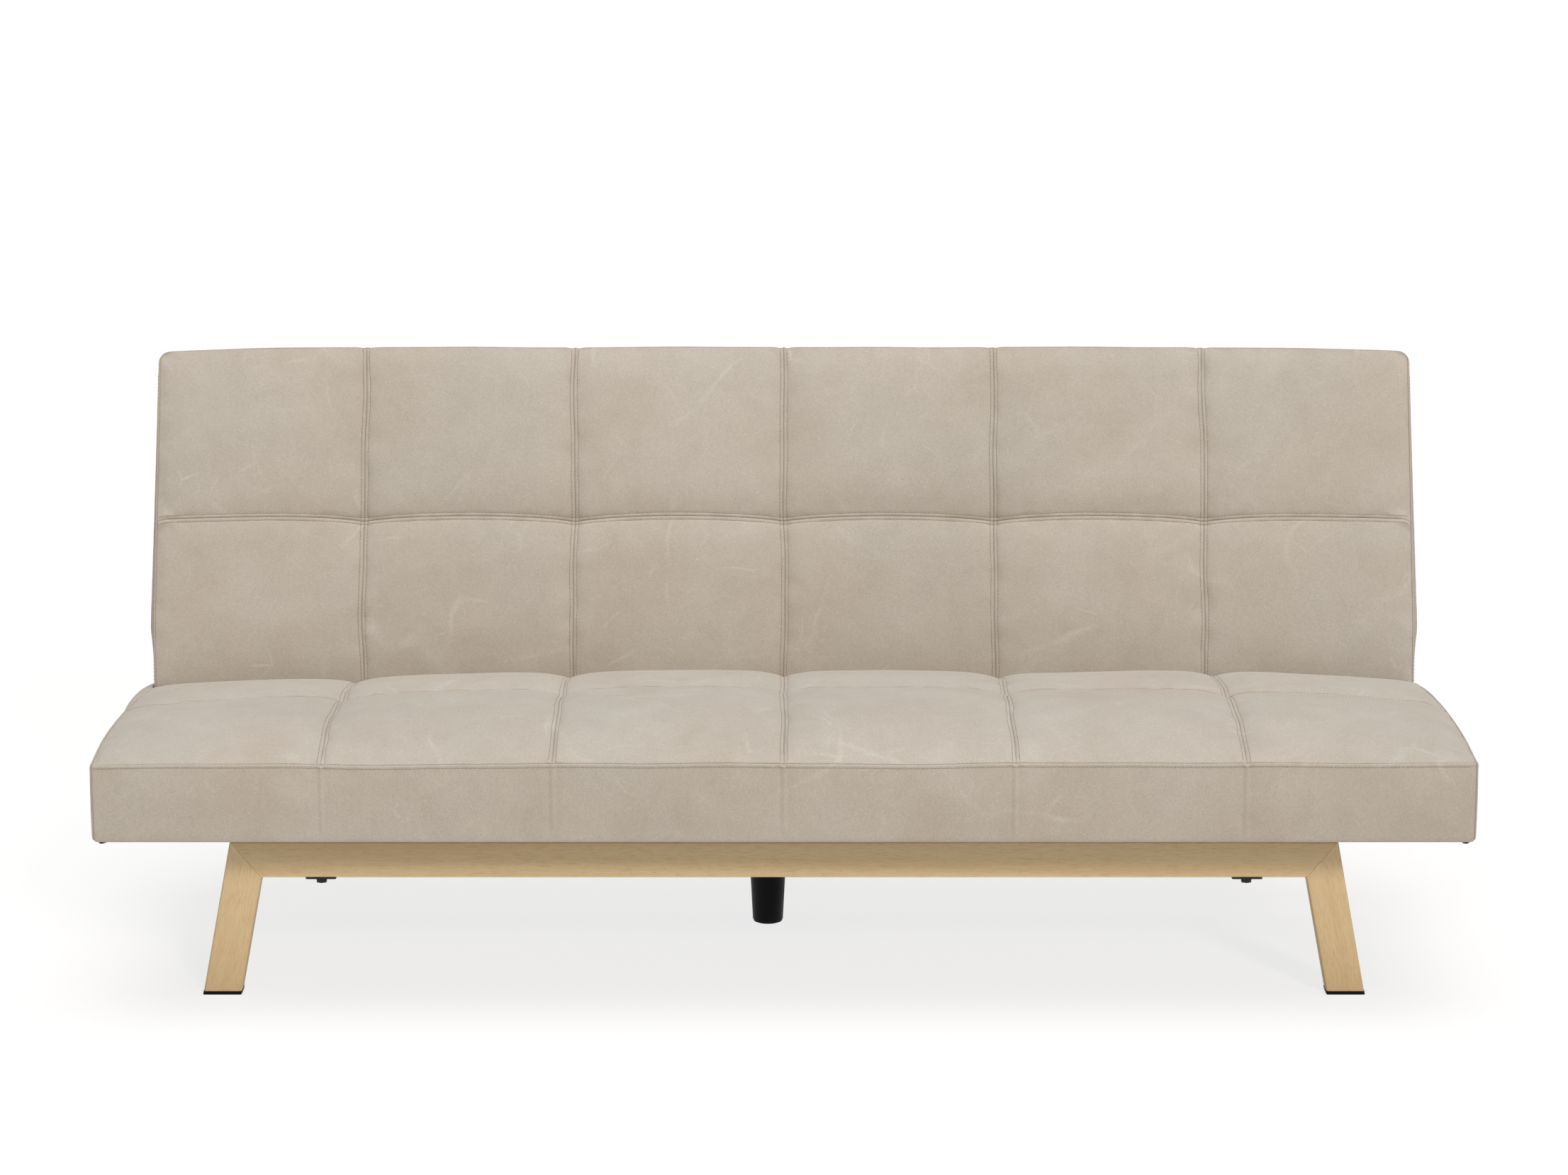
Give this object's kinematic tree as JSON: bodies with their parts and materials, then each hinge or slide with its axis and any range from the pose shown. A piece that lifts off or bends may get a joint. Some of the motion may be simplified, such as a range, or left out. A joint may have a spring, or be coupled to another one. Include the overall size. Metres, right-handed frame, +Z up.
{
  "type": "click clack sofa bed",
  "caption": "Armless sofa bed with a panelled seat and a reclined back that folds flat on toothed hinges, on splayed leg frames.",
  "frame": {"origin": "on the floor, at the middle of the whole sofa's width and depth with the back upright", "axes": "+X across the sofa to the right as seen from the front, the front faces -Y, +Z up"},
  "size_m": [1.88, 0.8074, 0.7963],
  "materials": {
    "fabric": "brushed microfibre",
    "oak_finish": "satin oak grain over steel tube",
    "black_steel": "satin black",
    "zinc_steel": "zinc plated",
    "black_plastic": "moulded, satin",
    "rear_cloth": "plain woven cover over board",
    "felt": "spunbonded dust cover"
  },
  "bodies": {
    "base": {"center_leg": "black_plastic", "center_leg_plate": "black_steel", "center_rail": "black_steel", "front_bar": "oak_finish", "front_bolt_left": "black_steel", "front_bolt_right": "black_steel", "front_foot_left": "black_plastic", "front_foot_right": "black_plastic", "front_leg_left": "oak_finish", "front_leg_right": "oak_finish", "front_washer_left": "black_steel", "front_washer_right": "black_steel", "hinge_cover_left": "fabric", "hinge_cover_right": "fabric", "hinge_pin_left": "zinc_steel", "hinge_pin_right": "zinc_steel", "rear_bar": "oak_finish", "rear_bolt_left": "black_steel", "rear_bolt_right": "black_steel", "rear_foot_left": "black_plastic", "rear_foot_right": "black_plastic", "rear_leg_left": "oak_finish", "rear_leg_right": "oak_finish", "rear_washer_left": "black_steel", "rear_washer_right": "black_steel", "seat_cross_center": "zinc_steel", "seat_cross_left": "zinc_steel", "seat_cross_right": "zinc_steel", "seat_cushion": "fabric", "seat_dust_cover": "felt", "seat_frame_front": "zinc_steel", "seat_frame_left": "zinc_steel", "seat_frame_rear": "zinc_steel", "seat_frame_right": "zinc_steel", "seat_hinge_arm_left": "black_steel", "seat_hinge_arm_right": "black_steel", "seat_spring_1": "zinc_steel", "seat_spring_2": "zinc_steel", "seat_spring_3": "zinc_steel", "seat_spring_4": "zinc_steel", "seat_spring_5": "zinc_steel", "seat_spring_6": "zinc_steel", "side_rail_left": "black_steel", "side_rail_right": "black_steel"},
    "backrest": {"back_cushion": "fabric", "back_frame_bottom": "zinc_steel", "back_frame_left": "zinc_steel", "back_frame_right": "zinc_steel", "back_frame_top": "zinc_steel", "back_hinge_arm_left": "black_steel", "back_hinge_arm_right": "black_steel", "back_panel": "rear_cloth", "back_spring_1": "zinc_steel", "back_spring_2": "zinc_steel", "back_spring_3": "zinc_steel", "back_spring_4": "zinc_steel"},
    "pawl_left": {"pawl_left": "zinc_steel"},
    "pawl_right": {"pawl_right": "zinc_steel"}
  },
  "joints": [
    {"name": "back_fold", "type": "hinge", "parent": "base", "child": "backrest", "pos_m": [0, 0.20653, 0.302], "axis": [-1, 0, 0], "range_deg": [-12, 72.5]},
    {"name": "pawl_left_lift", "type": "hinge", "parent": "backrest", "child": "pawl_left", "pos_m": [0, 0.20098, 0.35069], "axis": [1, 0, 0], "range_deg": [0, 8], "stiffness_Nm_per_rad": 0.05},
    {"name": "pawl_right_lift", "type": "hinge", "parent": "backrest", "child": "pawl_right", "pos_m": [0, 0.20098, 0.35069], "axis": [1, 0, 0], "range_deg": [0, 8], "stiffness_Nm_per_rad": 0.05}
  ]
}
